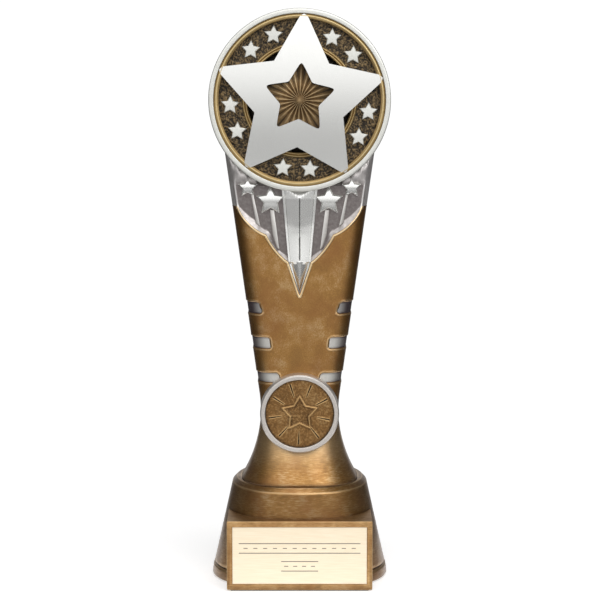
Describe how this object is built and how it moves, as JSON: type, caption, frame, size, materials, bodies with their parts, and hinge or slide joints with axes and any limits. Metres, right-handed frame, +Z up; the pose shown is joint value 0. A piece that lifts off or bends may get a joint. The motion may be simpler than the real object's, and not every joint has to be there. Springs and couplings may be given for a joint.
{
  "type": "column trophy",
  "caption": "Tall tapering column award on an oval plinth, with a round star plaque on top, a silver V relief, a neck medallion and a front engraving plate.",
  "frame": {"origin": "on the surface that the felt rests on, at the middle of the object's footprint", "axes": "+Z up along the column, -Y out of the front face with the plaque and the star, +X to the right seen from the front"},
  "size_m": [0.07, 0.0626, 0.225],
  "materials": {
    "antique_gold": "metallic antique-gold paint over cast resin, rubbed lighter on edges",
    "frame_bronze": "darker brushed antique-gold paint",
    "bright_gold": "bright gold paint",
    "disc_bronze": "antique bronze-gold paint with dark wash in the recesses",
    "dark_bronze": "dark bronze stippled paint",
    "satin_silver": "satin silver paint",
    "aged_silver": "silver paint with a dark wash",
    "plate_cream": "pale cream-gold satin metal plate with engraved rule lines",
    "adhesive": "double-sided foam tape",
    "felt": "black felt",
    "fixing_steel": "zinc-plated steel",
    "insert_brass": "brass thread insert"
  },
  "bodies": {
    "root": {"base_felt": "felt", "plinth": "antique_gold", "plaque_block": "frame_bronze", "engraving_plate": "plate_cream", "plate_adhesive": "adhesive", "column_body": "antique_gold", "upper_side_inlays": "aged_silver", "middle_side_inlays": "aged_silver", "lower_side_inlays": "aged_silver", "column_crown": "aged_silver", "centre_blade": "satin_silver", "outer_relief_stars": "satin_silver", "inner_relief_stars": "satin_silver", "outer_star_trails": "aged_silver", "inner_star_trails": "aged_silver", "medallion_holder": "satin_silver", "disc_adhesive": "adhesive", "centre_disc": "disc_bronze", "roundel_rim": "satin_silver", "roundel_body": "dark_bronze", "bead_ring": "bright_gold", "inner_ring": "disc_bronze", "large_star": "satin_silver", "sunburst_insert": "disc_bronze", "small_stars": "satin_silver", "column_bolt": "fixing_steel", "bolt_washer": "fixing_steel", "thread_insert": "insert_brass", "foot_dowels": "fixing_steel", "roundel_pins": "fixing_steel"}
  },
  "joints": []
}
